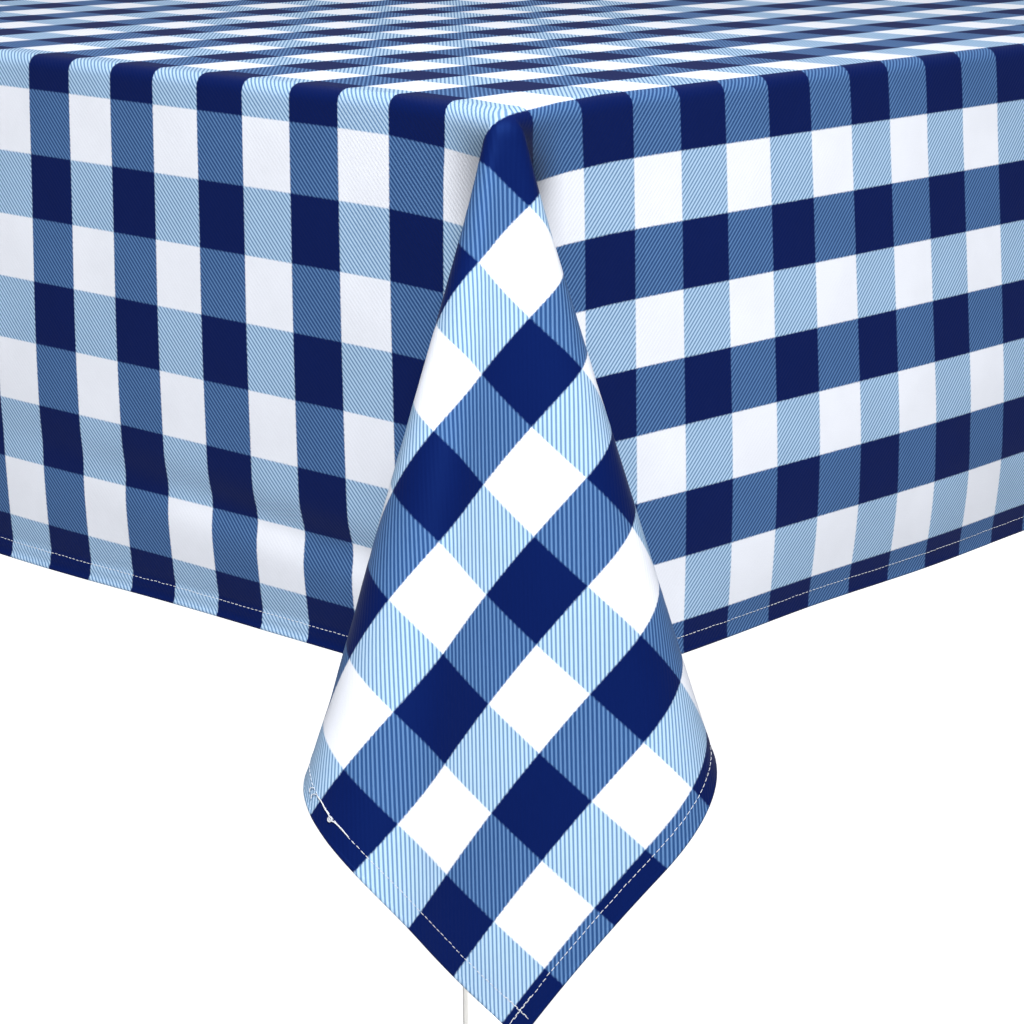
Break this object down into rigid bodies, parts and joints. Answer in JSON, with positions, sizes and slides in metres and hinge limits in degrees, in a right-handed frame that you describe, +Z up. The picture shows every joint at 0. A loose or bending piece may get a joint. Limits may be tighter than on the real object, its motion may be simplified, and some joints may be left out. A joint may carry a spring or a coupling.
{
  "type": "tablecloth on a table",
  "caption": "Checked cotton-look cloth draped over a square wooden table, with straight sides, folded hanging corners and stitched hems.",
  "frame": {"origin": "on the floor, below the middle of the table", "axes": "+Z up, +X to the right along the front side, +Y from the front side to the back side"},
  "size_m": [1.0618, 1.0618, 0.7515],
  "materials": {
    "check_cloth": "matt polyester twill, navy and white buffalo check",
    "white_thread": "spun sewing thread",
    "white_paint": "satin white paint on wood",
    "beech": "bare planed wood",
    "zinc_steel": "zinc plated",
    "brass": "plain turned",
    "grey_plastic": "moulded"
  },
  "bodies": {
    "table": {"table_top": "white_paint", "apron_front": "white_paint", "apron_right": "white_paint", "apron_back": "white_paint", "apron_left": "white_paint", "leg_front_left": "white_paint", "leg_front_right": "white_paint", "leg_back_right": "white_paint", "leg_back_left": "white_paint", "corner_block_front_left": "beech", "corner_block_front_right": "beech", "corner_block_back_right": "beech", "corner_block_back_left": "beech", "hanger_bolt_front_left": "zinc_steel", "hanger_bolt_front_right": "zinc_steel", "hanger_bolt_back_right": "zinc_steel", "hanger_bolt_back_left": "zinc_steel", "hanger_nut_front_left": "zinc_steel", "hanger_nut_front_right": "zinc_steel", "hanger_nut_back_right": "zinc_steel", "hanger_nut_back_left": "zinc_steel", "top_bracket_front": "zinc_steel", "top_bracket_right": "zinc_steel", "top_bracket_back": "zinc_steel", "top_bracket_left": "zinc_steel", "top_screw_front": "zinc_steel", "top_screw_right": "zinc_steel", "top_screw_back": "zinc_steel", "top_screw_left": "zinc_steel", "apron_screw_front": "zinc_steel", "apron_screw_right": "zinc_steel", "apron_screw_back": "zinc_steel", "apron_screw_left": "zinc_steel", "leg_insert_front_left": "brass", "leg_insert_front_right": "brass", "leg_insert_back_right": "brass", "leg_insert_back_left": "brass"},
    "cloth": {"cloth_top": "check_cloth", "cloth_drop_front": "check_cloth", "cloth_drop_right": "check_cloth", "cloth_drop_back": "check_cloth", "cloth_drop_left": "check_cloth", "cloth_corner_front_left": "check_cloth", "cloth_corner_front_right": "check_cloth", "cloth_corner_back_right": "check_cloth", "cloth_corner_back_left": "check_cloth", "hem_thread_front": "white_thread", "hem_thread_right": "white_thread", "hem_thread_back": "white_thread", "hem_thread_left": "white_thread"},
    "foot_front_left": {"levelling_foot_front_left": "grey_plastic"},
    "foot_front_right": {"levelling_foot_front_right": "grey_plastic"},
    "foot_back_right": {"levelling_foot_back_right": "grey_plastic"},
    "foot_back_left": {"levelling_foot_back_left": "grey_plastic"}
  },
  "joints": [
    {"name": "cloth_lift", "type": "slide", "parent": "table", "child": "cloth", "axis": [0, 0, 1], "range_m": [0, 0.42]},
    {"name": "foot_front_left_level", "type": "slide", "parent": "table", "child": "foot_front_left", "axis": [0, 0, -1], "range_m": [0, 0.008]},
    {"name": "foot_front_right_level", "type": "slide", "parent": "table", "child": "foot_front_right", "axis": [0, 0, -1], "range_m": [0, 0.008]},
    {"name": "foot_back_right_level", "type": "slide", "parent": "table", "child": "foot_back_right", "axis": [0, 0, -1], "range_m": [0, 0.008]},
    {"name": "foot_back_left_level", "type": "slide", "parent": "table", "child": "foot_back_left", "axis": [0, 0, -1], "range_m": [0, 0.008]}
  ]
}
